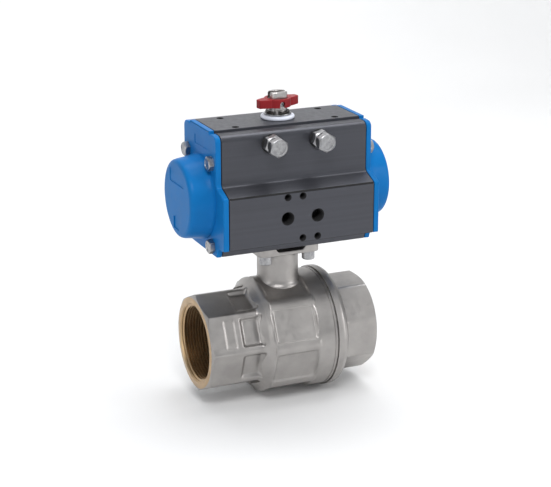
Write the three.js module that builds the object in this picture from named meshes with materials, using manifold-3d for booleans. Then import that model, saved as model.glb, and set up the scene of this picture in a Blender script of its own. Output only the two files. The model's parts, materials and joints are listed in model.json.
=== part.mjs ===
// A pneumatic rack-and-pinion actuator on a two-piece threaded ball valve.
// Millimetres, +Z up. The origin is where the pipe axis (X) meets the stem axis (Z); the air-supply pad faces -Y.

import * as THREE from 'three';
import { mergeVertices } from 'three/addons/utils/BufferGeometryUtils.js';
import Module from 'manifold-3d';

const wasm = await Module();
wasm.setup();

// Facets round a circle, by how large and how visible it is
const FINE = 28;
const MEDIUM = 20;
const COARSE = 12;
const SMALL = 8;

// Driving dimensions: clearances
const GAP = 0.3;
const REST_GAP = 0.1;

// Driving dimensions: actuator body
const BODY_TOP = 169.2;
const BODY_BOTTOM = 76.8;
const BODY_HALF_LENGTH = 57.75;
const BODY_HALF_WIDTH = 32;
const PAD_FACE = -46.4;
const BORE_Z = 115.6;
const BORE_RADIUS = 26;
const PORT_Z = 104.8;
const PORT_X = 12;
const PORT_RADIUS = 4.4;
const PAD_SCREW_Z = 16;
const PAD_SCREW_RADIUS = 2.2;
const TOP_SCREW_X = 40;
const TOP_SCREW_Y = 15;
const TOP_SCREW_RADIUS = 2.1;
const CLEARANCE_HOLE = 3.3;
const CHANNEL_Y = -34.5;
const CHANNEL_Z = 93;
const CHANNEL_RADIUS = 2;

// Driving dimensions: end caps and their screws
const GASKET_THICKNESS = 0.45;
const CAP_INNER = BODY_HALF_LENGTH + GASKET_THICKNESS + 2 * REST_GAP;
const CAP_OUTER = 62.4;
const DOME_END = 80.8;
const DOME_HOLLOW_END = 77;
const DOME_HOLLOW_RADIUS = 25.2;
const HEAD_ROOM = 6.6;
const CAP_SCREW_Y = 24;
const CAP_SCREW_Z = [146.4, 83.8];
const CAP_SCREW_SIZE = 6;
const CAP_SCREW_HEX = 9.8;
const CAP_SCREW_TURNS = [0.1, 0.62, 0.35, -0.08];

// Driving dimensions: drive (pinion, cam, racks)
const GEAR_MODULE = 1.5;
const GEAR_TEETH = 14;
const PITCH_RADIUS = GEAR_MODULE * GEAR_TEETH / 2;
const PRESSURE_ANGLE = THREE.MathUtils.degToRad(20);
const BACKLASH = 0.14;
const GEAR_ADDENDUM = 1.3;
const RACK_ADDENDUM = 1.05;
const DEDENDUM = 1.7;
const GEAR_HEIGHT = 22;
const RACK_HEIGHT = 19;
const SHAFT_TOP = 189.2;
const CAM_CHAMBER_RADIUS = 25.2;
const CAM_CHAMBER_TOP = 163.4;
const CAM_RADIUS = 23.4;
const CAM_FACE_OFFSET = 5;
const CAM_BOTTOM = 153.2;
const CAM_TOP = 162.9;
const SQUARE_SOCKET = 14;
const SNAP_RING_TURN = THREE.MathUtils.degToRad(-118);
const INDICATOR_TURN = THREE.MathUtils.degToRad(10);

// Driving dimensions: pistons and springs
const PISTON_INNER = 28;
const PISTON_OUTER = 40;
const PISTON_RADIUS = 25.5;
const SPRING_WIRE = 3;
const SPRING_RADIUS = 17.5;

// Driving dimensions: travel stops
const STOP_X = 19;
const STOP_Z = 158.5;
const STOP_SIZE = 8;
const STOP_HEX = 13;
const STOP_HEAD_FRONT = -47.5;
const STOP_HEAD_HEIGHT = 5.3;
const STOP_FACE = -31.5;
const STOP_BORE = 4.6;
const STOP_SPOT_FACE = 8.6;

// Driving dimensions: ball valve
const VALVE_LEFT = -68.8;
const VALVE_RIGHT = 69;
const SOCKET_RADIUS = 28.3;
const SOCKET_DEPTH = 25;
const FLOW_RADIUS = 25;
const BALL_RADIUS = 37.5;
const LEFT_OCTAGON = 71;
const RIGHT_OCTAGON = 70.5;
const LEFT_TURN = THREE.MathUtils.degToRad(-3);
const RIGHT_TURN = THREE.MathUtils.degToRad(27);
const BARREL_CORNER = 47;
const BARREL_ROUNDING = 5;
const SHOULDER_START = -31;
const SHOULDER_RADIUS = 44.5;
const FACETS_LEFT = -20.5;
const FACETS_RIGHT = 15;
const RING_RADIUS = 46;
const COLLAR_RADIUS = 47;
const BODY_END = 30.5;
const COLLAR_START = 31;
const SPIGOT_START = 18.3;
const SPIGOT_RADIUS = 42;
const SEAT_POCKET = 32.4;
const SEAT_POCKET_END = 34.3;
const BALL_ROOM = 38.3;
const NECK_RADIUS = 15.8;
const FLANGE_BOTTOM = 69;
const FLANGE_TOP = BODY_BOTTOM - REST_GAP;
const FLANGE_HALF = 25;
const FLANGE_SCREW = 17.68;
const FLANGE_RELIEF = 4.7;
const SCREW_HEAD_HEIGHT = 7;
const STEM_RADIUS = 9.2;
const STEM_SQUARE = 13.4;
const STEM_BORE = 9.5;
const PACKING_BORE = 12.9;

// Finishes: colour, roughness, metalness
const FINISHES = {
  anodised: [0x4b4c51, 0.45, 0.6],
  coated_blue: [0x2570b6, 0.35, 0.0],
  stainless: [0xb9babd, 0.3, 1.0],
  plated_brass: [0x96948f, 0.4, 0.9],
  brass: [0xa98552, 0.3, 1.0],
  red_plastic: [0xa8242c, 0.45, 0.0],
  white_plastic: [0xc6cad4, 0.5, 0.0],
  black_rubber: [0x18181a, 0.8, 0.0],
  cast_aluminium: [0xa7a9ab, 0.5, 0.9],
  spring_steel: [0x3f4348, 0.45, 0.9],
  ptfe: [0xeceae4, 0.55, 0.0],
  acetal: [0xd8d6cd, 0.5, 0.0],
};

const valve = new THREE.Group();

// ---------- solids ----------

// Local axes of an extrusion (along its own Z) laid along a world axis.
const LAY = {
  x: [[0, 1, 0], [0, 0, 1], [1, 0, 0]],
  y: [[0, 0, 1], [1, 0, 0], [0, 1, 0]],
  z: [[1, 0, 0], [0, 1, 0], [0, 0, 1]],
};

// Local axes of a lathe (about its own Y) laid along a world axis.
const TURN = {
  x: [[0, 0, 1], [1, 0, 0], [0, 1, 0]],
  y: [[1, 0, 0], [0, 1, 0], [0, 0, 1]],
  z: [[0, 1, 0], [0, 0, 1], [1, 0, 0]],
};

function place(geometry, axes, at) {
  const basis = new THREE.Matrix4().makeBasis(...axes.map((v) => new THREE.Vector3(...v)));
  return geometry.applyMatrix4(basis).translate(...at);
}

function signedVolume(positions, triangles) {
  const corner = (i) => new THREE.Vector3().fromArray(positions, 3 * i);
  let volume = 0;
  for (let i = 0; i < triangles.length; i += 3) {
    const [a, b, c] = triangles.slice(i, i + 3).map(corner);
    volume += a.dot(b.cross(c)) / 6;
  }
  return volume;
}

// A closed geometry as a solid, with shared corners, no collapsed triangles and its faces pointing out.
function solid(geometry) {
  geometry.deleteAttribute('normal');
  geometry.deleteAttribute('uv');
  const merged = mergeVertices(geometry);
  const index = Array.from(merged.index.array);
  const positions = merged.attributes.position.array;
  const triangles = [];
  for (let i = 0; i < index.length; i += 3) {
    const [a, b, c] = index.slice(i, i + 3);
    if (a !== b && b !== c && c !== a) {
      triangles.push(a, b, c);
    }
  }
  if (signedVolume(positions, triangles) < 0) {
    triangles.reverse();
  }
  return new wasm.Manifold(new wasm.Mesh({
    numProp: 3,
    vertProperties: Float32Array.from(positions),
    triVerts: Uint32Array.from(triangles),
  }));
}

function box(x, y, z) {
  const geometry = new THREE.BoxGeometry(x[1] - x[0], y[1] - y[0], z[1] - z[0]);
  return solid(geometry.translate((x[0] + x[1]) / 2, (y[0] + y[1]) / 2, (z[0] + z[1]) / 2));
}

// Revolves a profile of [radius, height] points about an axis through the point at.
function revolve(profile, axis, at = [0, 0, 0], segments = MEDIUM) {
  const closed = profile[0][0] === 0 ? profile : [...profile, profile[0]];
  const points = closed.map(([r, h]) => new THREE.Vector2(r, h));
  return solid(place(new THREE.LatheGeometry(points, segments), TURN[axis], at));
}

function rod(axis, radius, from, to, at = [0, 0, 0], segments = MEDIUM) {
  return revolve([[0, from], [radius, from], [radius, to], [0, to]], axis, at, segments);
}

function tube(axis, inner, outer, from, to, at = [0, 0, 0], segments = MEDIUM) {
  return revolve([[inner, from], [outer, from], [outer, to], [inner, to]], axis, at, segments);
}

function rubberRing(axis, radius, wire, height, at = [0, 0, 0], segments = MEDIUM) {
  const profile = [];
  for (let i = 0; i < 6; i += 1) {
    const angle = (i + 0.5) * Math.PI / 3;
    profile.push([radius + wire / 2 * Math.cos(angle), height + wire / 2 * Math.sin(angle)]);
  }
  return revolve(profile, axis, at, segments);
}

// A closed outline; each corner is [u, v] or [u, v, rounding], the rounding being its tangent length.
function outline(corners) {
  const shape = new THREE.Shape();
  const point = (i) => new THREE.Vector2(...corners[(i + corners.length) % corners.length].slice(0, 2));
  corners.forEach(([u, v, rounding = 0], i) => {
    const corner = new THREE.Vector2(u, v);
    const start = corner.clone().add(point(i - 1).sub(corner).setLength(rounding));
    const end = corner.clone().add(point(i + 1).sub(corner).setLength(rounding));
    if (i === 0) {
      shape.moveTo(start.x, start.y);
    } else {
      shape.lineTo(start.x, start.y);
    }
    if (rounding > 0) {
      shape.quadraticCurveTo(u, v, end.x, end.y);
    }
  });
  shape.closePath();
  return shape;
}

function prism(axis, shape, from, to, at = [0, 0, 0], curveSegments = 3) {
  const geometry = new THREE.ExtrudeGeometry(shape, { depth: to - from, bevelEnabled: false, curveSegments });
  return solid(place(geometry.translate(0, 0, from), LAY[axis], at));
}

function polygon(sides, radius, turn = 0, rounding = 0) {
  const corners = [];
  for (let i = 0; i < sides; i += 1) {
    const angle = turn + i * 2 * Math.PI / sides;
    corners.push([radius * Math.cos(angle), radius * Math.sin(angle), rounding]);
  }
  return outline(corners);
}

function hexagon(acrossFlats, turn = 0) {
  return polygon(6, acrossFlats / Math.sqrt(3), turn);
}

function join(...pieces) {
  return pieces.reduce((whole, piece) => whole.add(piece));
}

function cut(piece, ...tools) {
  return tools.reduce((rest, tool) => rest.subtract(tool), piece);
}

function geometryOf(piece) {
  const mesh = piece.getMesh();
  const geometry = new THREE.BufferGeometry();
  geometry.setAttribute('position', new THREE.BufferAttribute(Float32Array.from(mesh.vertProperties), 3));
  geometry.setIndex(new THREE.BufferAttribute(Uint32Array.from(mesh.triVerts), 1));
  return geometry;
}

function mirrored(piece) {
  return solid(geometryOf(piece).scale(-1, 1, 1));
}

function halfTurned(piece) {
  return solid(geometryOf(piece).rotateZ(Math.PI));
}

function node(name, piece, finish) {
  const geometry = geometryOf(piece);
  geometry.computeVertexNormals();
  const [color, roughness, metalness] = FINISHES[finish];
  const mesh = new THREE.Mesh(geometry, new THREE.MeshStandardMaterial({ color, roughness, metalness }));
  mesh.name = name;
  valve.add(mesh);
}

// ---------- actuator body and end caps ----------

// Section of the extrusion in Y and Z: raised top, shouldered upper box, wide air-supply pad in front.
function bodySection(inset = 0) {
  const side = BODY_HALF_WIDTH - inset;
  const pad = PAD_FACE + inset;
  return outline([
    [-19.3, BODY_TOP - inset, 0.4],
    [-19.3, BODY_TOP - 2.3 - inset],
    [-21.4, BODY_TOP - 2.3 - inset],
    [-22, BODY_TOP - 1.6 - inset],
    [-side, BODY_TOP - 2 - inset, 4.5],
    [-side, 130.2, 2.6],
    [pad, 124.6 - inset, 1.4],
    [pad, 85.5 + inset, 0.8],
    [-34, 84 + inset, 2],
    [-31.5 + inset, BODY_BOTTOM + inset],
    [side, BODY_BOTTOM + inset, 6],
    [side, BODY_TOP - 2 - inset, 4.5],
    [22, BODY_TOP - 1.6 - inset],
    [21.4, BODY_TOP - 2.3 - inset],
    [19.3, BODY_TOP - 2.3 - inset],
    [19.3, BODY_TOP - inset, 0.4],
  ]);
}

// The four cap screw places of one end, as points on the X axis's own plane.
function capScrewPlaces() {
  return CAP_SCREW_Z.flatMap((z) => [[0, -CAP_SCREW_Y, z], [0, CAP_SCREW_Y, z]]);
}

function actuatorBody() {
  const shell = prism('x', bodySection(), -BODY_HALF_LENGTH, BODY_HALF_LENGTH, [0, 0, 0], 4);
  const tools = [
    rod('x', BORE_RADIUS, -60, 60, [0, 0, BORE_Z], FINE),
    rod('z', CAM_CHAMBER_RADIUS, BORE_Z, CAM_CHAMBER_TOP, [0, 0, 0], MEDIUM),
    rod('z', 10.6, CAM_CHAMBER_TOP - 1, BODY_TOP + 1, [0, 0, 0], MEDIUM),
    rod('z', 13.6, BODY_BOTTOM - 1, 80, [0, 0, 0], MEDIUM),
    rod('z', 15.5, 79.2, 95, [0, 0, 0], MEDIUM),
    rod('y', PORT_RADIUS, PAD_FACE - 1, -20, [-PORT_X, 0, PORT_Z], COARSE),
    rod('y', PORT_RADIUS, PAD_FACE - 1, CHANNEL_Y, [PORT_X, 0, PORT_Z], COARSE),
    rod('z', CHANNEL_RADIUS, CHANNEL_Z, PORT_Z, [PORT_X, CHANNEL_Y, 0], SMALL),
    rod('x', CHANNEL_RADIUS, -60, 60, [0, CHANNEL_Y, CHANNEL_Z], SMALL),
  ];
  for (const [x, dz] of [[-PORT_X, PAD_SCREW_Z], [0, PAD_SCREW_Z], [0, -PAD_SCREW_Z], [PORT_X, -PAD_SCREW_Z]]) {
    tools.push(rod('y', PAD_SCREW_RADIUS, PAD_FACE - 1, PAD_FACE + 7.5, [x, 0, PORT_Z + dz], SMALL));
  }
  for (const x of [-TOP_SCREW_X, TOP_SCREW_X]) {
    for (const y of [-TOP_SCREW_Y, TOP_SCREW_Y]) {
      tools.push(rod('z', TOP_SCREW_RADIUS, BODY_TOP - 9, BODY_TOP + 1, [x, y, 0], SMALL));
    }
  }
  for (const x of [-FLANGE_SCREW, FLANGE_SCREW]) {
    for (const y of [-FLANGE_SCREW, FLANGE_SCREW]) {
      tools.push(rod('z', CLEARANCE_HOLE, BODY_BOTTOM - 1, 88, [x, y, 0], SMALL));
    }
  }
  for (const at of capScrewPlaces()) {
    tools.push(rod('x', CLEARANCE_HOLE, 42, 60, at, SMALL));
    tools.push(rod('x', CLEARANCE_HOLE, -60, -42, at, SMALL));
  }
  for (const x of [-STOP_X, STOP_X]) {
    tools.push(rod('y', STOP_BORE, -40, -4, [x, 0, STOP_Z], COARSE));
    tools.push(rod('y', STOP_SPOT_FACE, -40, STOP_FACE, [x, 0, STOP_Z], COARSE));
  }
  node('actuator_body', cut(shell, ...tools), 'anodised');
}

function rightGasket() {
  const sheet = prism('x', bodySection(0.9), BODY_HALF_LENGTH + REST_GAP, CAP_INNER - REST_GAP);
  const holes = capScrewPlaces().map((at) => rod('x', CLEARANCE_HOLE, 50, 70, at, SMALL));
  return cut(
    sheet,
    rod('x', BORE_RADIUS, 50, 70, [0, 0, BORE_Z], MEDIUM),
    rod('x', 2.2, 50, 70, [0, CHANNEL_Y, CHANNEL_Z], SMALL),
    ...holes,
  );
}

// A flange with the body's outline and a deep round cup for the return spring.
function rightCap() {
  const flange = prism('x', bodySection(), CAP_INNER, CAP_OUTER, [0, 0, 0], 4);
  const cup = revolve([
    [0, CAP_INNER],
    [31.8, CAP_INNER],
    [31.8, CAP_OUTER + 1.5],
    [30.9, CAP_OUTER + 5],
    [29.6, DOME_END - 2.6],
    [28.7, DOME_END - 0.8],
    [26.9, DOME_END],
    [0, DOME_END],
  ], 'x', [0, 0, BORE_Z], FINE);
  const hollow = rod('x', DOME_HOLLOW_RADIUS, CAP_INNER - 1, DOME_HOLLOW_END, [0, 0, BORE_Z], MEDIUM);
  const passage = box([CAP_INNER - 1, CAP_INNER + 1.5], [CHANNEL_Y - 2, -15], [CHANNEL_Z - 2, CHANNEL_Z + 2]);
  const holes = capScrewPlaces().map((at) => rod('x', CLEARANCE_HOLE, 50, 70, at, SMALL));
  const headRooms = capScrewPlaces().map((at) => rod('x', HEAD_ROOM, CAP_OUTER, 90, at, COARSE));
  return cut(join(flange, cup), hollow, passage, ...holes, ...headRooms);
}

// A hexagon-headed screw pointing towards -X, its head resting on the cap flange.
function rightCapScrew(at, headTurn) {
  const shank = rod('x', CAP_SCREW_SIZE / 2 - 0.1, 44, CAP_OUTER + 1, at, SMALL);
  const head = prism('x', hexagon(CAP_SCREW_HEX, headTurn), CAP_OUTER + REST_GAP, CAP_OUTER + 4.1, at);
  return join(head, shank);
}

function ends() {
  node('end_cap_right', rightCap(), 'coated_blue');
  node('end_cap_left', mirrored(rightCap()), 'coated_blue');
  node('cap_gasket_right', rightGasket(), 'black_rubber');
  node('cap_gasket_left', mirrored(rightGasket()), 'black_rubber');
  capScrewPlaces().forEach((at, i) => {
    const screw = rightCapScrew(at, CAP_SCREW_TURNS[i]);
    node(`cap_screw_right_${i + 1}`, screw, 'stainless');
    node(`cap_screw_left_${i + 1}`, mirrored(screw), 'stainless');
  });
}

// ---------- drive: pinion, cam, bearings ----------

// Half of the angle that a tooth takes at a radius, from the involute of the pitch circle.
function toothHalfAngle(radius) {
  const involute = (angle) => Math.tan(angle) - angle;
  const base = PITCH_RADIUS * Math.cos(PRESSURE_ANGLE);
  const angle = Math.acos(Math.min(1, base / radius));
  const atPitch = Math.PI / (2 * GEAR_TEETH) - BACKLASH / PITCH_RADIUS;
  return atPitch + involute(PRESSURE_ANGLE) - involute(angle);
}

// Gear outline in X and Y, with one tooth centred on -Y.
function gearOutline() {
  const base = PITCH_RADIUS * Math.cos(PRESSURE_ANGLE);
  const root = PITCH_RADIUS - DEDENDUM;
  const tip = PITCH_RADIUS + GEAR_ADDENDUM;
  const flank = [[root, base], [base, base], [tip, tip]];
  const corners = [];
  for (let i = 0; i < GEAR_TEETH; i += 1) {
    const middle = -Math.PI / 2 + i * 2 * Math.PI / GEAR_TEETH;
    for (const [radius, shapedAt] of flank) {
      const angle = middle - toothHalfAngle(shapedAt);
      corners.push([radius * Math.cos(angle), radius * Math.sin(angle)]);
    }
    for (const [radius, shapedAt] of [...flank].reverse()) {
      const angle = middle + toothHalfAngle(shapedAt);
      corners.push([radius * Math.cos(angle), radius * Math.sin(angle)]);
    }
  }
  return outline(corners);
}

function pinion() {
  const shaft = revolve([
    [0, BODY_BOTTOM + 0.4],
    [13.1, BODY_BOTTOM + 0.4],
    [13.1, 77.8],
    [11.6, 77.8],
    [11.6, 80],
    [13, 80],
    [13, 95],
    [8.5, 98],
    [8.5, CAM_BOTTOM - 0.6],
    [7, CAM_BOTTOM - 0.6],
    [7, CAM_TOP],
    [8.3, CAM_TOP],
    [8.3, 165],
    [7.1, 165],
    [7.1, 167],
    [8.3, 167],
    [8.3, 172.3],
    [7.25, 172.3],
    [7.25, 173.5],
    [6.6, 173.5],
    [6.6, 175.1],
    [7.25, 175.1],
    [7.25, SHAFT_TOP - 0.7],
    [6.5, SHAFT_TOP],
    [0, SHAFT_TOP],
  ], 'z', [0, 0, 0], MEDIUM);
  const gear = prism('z', gearOutline(), BORE_Z - GEAR_HEIGHT / 2, BORE_Z + GEAR_HEIGHT / 2);
  const camSeat = prism('z', hexagon(14.2), CAM_BOTTOM - 0.6, CAM_TOP);
  const half = SQUARE_SOCKET / 2;
  const tools = [
    box([-half, half], [-half, half], [BODY_BOTTOM - 1, 94]),
    box([-10, 10], [-2, 2], [SHAFT_TOP - 4.5, SHAFT_TOP + 1]),
    rod('z', 2.2, SHAFT_TOP - 14, SHAFT_TOP + 1, [0, 0, 0], SMALL),
    box([-10, 10], [6.1, 10], [176, SHAFT_TOP + 1]),
    box([-10, 10], [-10, -6.1], [176, SHAFT_TOP + 1]),
  ];
  node('pinion', cut(join(shaft, gear, camSeat), ...tools), 'stainless');
}

// A quarter cam: one face stops on the right bolt at rest, the other on the left bolt after a quarter turn.
function stopCam() {
  const disc = rod('z', CAM_RADIUS, CAM_BOTTOM, CAM_TOP - GAP, [0, 0, 0], MEDIUM);
  const hub = rod('z', 11.5, CAM_BOTTOM, CAM_TOP - GAP, [0, 0, 0], MEDIUM);
  const keep = box([-CAM_FACE_OFFSET, 30], [-CAM_FACE_OFFSET, 30], [150, 170]);
  const hexHole = prism('z', hexagon(14.8), 150, 170);
  node('stop_cam', cut(join(disc.intersect(keep), hub), hexHole), 'cast_aluminium');
}

function bearingsAndRings() {
  node('upper_bearing', tube('z', 8.6, 10.3, CAM_CHAMBER_TOP + 0.2, 169), 'acetal');
  node('lower_bearing', tube('z', 13.35, 15.2, 80.3, 89.4), 'acetal');
  node('pinion_o_ring_upper', rubberRing('z', 7.8, 1.1, 166), 'black_rubber');
  node('pinion_o_ring_lower', rubberRing('z', 12.5, 1.4, 78.9), 'black_rubber');
}

// ---------- shaft end: spacer, washer, snap ring, indicator ----------

function shaftEnd() {
  const spacer = revolve([[8.7, 169.3], [12.2, 169.3], [12.7, 170.1], [12.6, 171.2], [11.8, 172.1], [8.7, 172.1]],
    'z', [0, 0, 0], FINE);
  node('spacer_ring', spacer, 'white_plastic');
  node('thrust_washer', tube('z', 7.5, 10.3, 172.4, 173.4), 'stainless');
  const bottom = 173.7;
  const top = 174.9;
  const band = tube('z', 6.75, 9.1, bottom, top);
  const lugs = [-2.6, 2.6].map((y) => rod('z', 2, bottom, top, [9.2, y, 0], SMALL));
  const mouth = box([4, 14], [-1.4, 1.4], [bottom - 1, top + 1]);
  const ring = cut(join(band, ...lugs), mouth);
  node('snap_ring', solid(geometryOf(ring).rotateZ(SNAP_RING_TURN)), 'spring_steel');
}

// A pointer with two wings along the flow, turned a little on the shaft, and a set screw in front.
function positionIndicator() {
  const bottom = 178.2;
  const top = 184.7;
  const tip = 17.2;
  const tipHalf = 2.6;
  const rootX = 9.6;
  const rootY = 5.6;
  const hub = rod('z', 10, bottom, top, [0, 0, 0], MEDIUM);
  const lozenge = prism('z', outline([
    [-tip, -tipHalf, 0.8], [-rootX, -rootY, 1.5], [-6, -rootY], [6, -rootY], [rootX, -rootY, 1.5],
    [tip, -tipHalf, 0.8], [tip, tipHalf, 0.8], [rootX, rootY, 1.5], [6, rootY], [-6, rootY],
    [-rootX, rootY, 1.5], [-tip, tipHalf, 0.8],
  ]), bottom, top);
  const wings = solid(geometryOf(lozenge).rotateZ(INDICATOR_TURN));
  const piece = cut(
    join(hub, wings),
    rod('z', 7.6, bottom - 1, top + 1, [0, 0, 0], MEDIUM),
    rod('y', 2, -12, -5, [0, 0, 181], SMALL),
    box([-2, 2], [-12, -7], [bottom - 1, 181]),
  );
  node('position_indicator', piece, 'red_plastic');
  const screw = cut(rod('y', 1.7, -9.5, -6.4, [0, 0, 181], SMALL), prism('y', hexagon(1.8), -10, -8.2, [0, 0, 181]));
  node('indicator_screw', screw, 'stainless');
}

// ---------- pistons, racks and springs ----------

// The rack of the right piston, in X and Y, lying in front of the pinion with a gap between teeth at X = 0.
function rackOutline() {
  const pitch = Math.PI * GEAR_MODULE;
  const slope = Math.tan(PRESSURE_ANGLE);
  const tipY = -PITCH_RADIUS + RACK_ADDENDUM;
  const rootY = -PITCH_RADIUS - DEDENDUM;
  const half = pitch / 4 - BACKLASH / 2;
  const corners = [[-24.5, rootY - 9.3], [-24.5, rootY]];
  for (let i = -5; i < 2; i += 1) {
    const middle = (i + 0.5) * pitch;
    corners.push([middle - half - DEDENDUM * slope, rootY]);
    corners.push([middle - half + RACK_ADDENDUM * slope, tipY]);
    corners.push([middle + half - RACK_ADDENDUM * slope, tipY]);
    corners.push([middle + half + DEDENDUM * slope, rootY]);
  }
  corners.push([PISTON_INNER + 1, rootY], [PISTON_INNER + 1, rootY - 9.3]);
  return outline(corners);
}

function rightPiston() {
  const head = revolve([
    [0, PISTON_INNER],
    [24.6, PISTON_INNER],
    [PISTON_RADIUS, PISTON_INNER + 0.8],
    [PISTON_RADIUS, 29.6],
    [24.1, 29.6],
    [24.1, 33.4],
    [PISTON_RADIUS, 33.4],
    [PISTON_RADIUS, 35.2],
    [23, 35.2],
    [23, 38],
    [PISTON_RADIUS, 38],
    [PISTON_RADIUS, PISTON_OUTER],
    [11, PISTON_OUTER],
    [10, PISTON_OUTER + 4],
    [0, PISTON_OUTER + 4],
  ], 'x', [0, 0, BORE_Z], MEDIUM);
  const rack = prism('z', rackOutline(), BORE_Z - RACK_HEIGHT / 2, BORE_Z + RACK_HEIGHT / 2);
  return join(head, rack);
}

function rightRackPad() {
  const block = box([-21, 21], [-25.6, -21.8], [BORE_Z - 6, BORE_Z + 6]);
  return block.intersect(rod('x', 25.6, -30, 30, [0, 0, BORE_Z], FINE));
}

// Coils about X with one closed turn at each end.
class CoilPath extends THREE.Curve {
  constructor(from, to, radius, turns, wire) {
    super();
    Object.assign(this, { from, to, radius, turns, wire });
  }

  getPoint(t, target = new THREE.Vector3()) {
    const turn = t * this.turns;
    const closed = this.wire * 1.1;
    const openPitch = (this.to - this.from - 2 * closed) / (this.turns - 2);
    const along = Math.min(turn, 1) * closed
      + Math.min(Math.max(turn - 1, 0), this.turns - 2) * openPitch
      + Math.max(turn - this.turns + 1, 0) * closed;
    const angle = turn * 2 * Math.PI;
    return target.set(this.from + along, this.radius * Math.cos(angle), BORE_Z + this.radius * Math.sin(angle));
  }
}

function rightSpring() {
  const seat = SPRING_WIRE / 2 + GAP;
  const turns = 5.75;
  const path = new CoilPath(PISTON_OUTER + seat, DOME_HOLLOW_END - seat, SPRING_RADIUS, turns, SPRING_WIRE);
  const wire = polygon(6, SPRING_WIRE / 2);
  const steps = Math.round(turns * 11);
  return solid(new THREE.ExtrudeGeometry(wire, { steps, extrudePath: path, bevelEnabled: false }));
}

function pistonSet() {
  const axisAt = [0, 0, BORE_Z];
  const pieces = {
    piston: [rightPiston(), 'cast_aluminium'],
    piston_o_ring: [rubberRing('x', 24.45, 2.3, 36.6, axisAt, MEDIUM), 'black_rubber'],
    piston_guide_band: [tube('x', 24.3, 25.7, 29.9, 33.1, axisAt, MEDIUM), 'acetal'],
    rack_pad: [rightRackPad(), 'acetal'],
    return_spring: [rightSpring(), 'spring_steel'],
  };
  for (const [name, [piece, finish]] of Object.entries(pieces)) {
    node(`${name}_right`, piece, finish);
    node(`${name}_left`, halfTurned(piece), finish);
  }
}

// ---------- travel stops ----------

function travelStop(side, x, headTurn, nutTurn) {
  const at = [x, 0, STOP_Z];
  const washerBack = STOP_FACE - REST_GAP;
  const washerFront = washerBack - 0.9;
  const nutBack = washerFront - REST_GAP;
  const nutFront = nutBack - 6.5;
  const headBack = STOP_HEAD_FRONT + STOP_HEAD_HEIGHT;
  const tip = -CAM_FACE_OFFSET - GAP;
  const head = prism('y', hexagon(STOP_HEX, headTurn), STOP_HEAD_FRONT, headBack, at);
  const shank = revolve([
    [0, headBack - 1], [STOP_SIZE / 2, headBack - 1], [STOP_SIZE / 2, tip - 1], [3, tip], [0, tip],
  ], 'y', at, COARSE);
  node(`stop_bolt_${side}`, join(head, shank), 'stainless');
  const nut = prism('y', hexagon(STOP_HEX, nutTurn), nutFront, nutBack, at);
  node(`stop_lock_nut_${side}`, cut(nut, rod('y', STOP_BORE, -50, -20, at, COARSE)), 'stainless');
  node(`stop_seal_washer_${side}`, tube('y', STOP_BORE, 7.4, washerFront, washerBack, at, COARSE), 'black_rubber');
}

// ---------- ball valve ----------

// An octagonal pipe end with its outer corners chamfered at the face.
function octagonEnd(acrossFlats, turn, face, root) {
  const corner = acrossFlats / 2 / Math.cos(Math.PI / 8);
  const inward = Math.sign(root - face);
  const low = Math.min(face, root);
  const high = Math.max(face, root);
  const bar = prism('x', polygon(8, corner, turn), low, high);
  const profile = [
    [0, face], [acrossFlats / 2 - 0.4, face], [corner + 0.2, face + inward * 2.1], [corner + 0.2, root], [0, root],
  ];
  return bar.intersect(revolve(profile, 'x', [0, 0, 0], FINE));
}

function flangePlate() {
  const edge = [[-1, -1], [1, -1], [1, 1], [-1, 1]].map(([x, y]) => [x * FLANGE_HALF, y * FLANGE_HALF, 6]);
  const plate = prism('z', outline(edge), FLANGE_BOTTOM, FLANGE_TOP, [0, 0, 0], 4);
  const relief = FLANGE_TOP - FLANGE_RELIEF;
  const above = FLANGE_TOP + 1;
  return cut(
    plate,
    prism('y', outline([[relief, -10], [relief, 10], [above, 14.2], [above, -14.2]]), -30, 30),
    prism('x', outline([[-10, relief], [10, relief], [14.2, above], [-14.2, above]]), -30, 30),
  );
}

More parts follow.
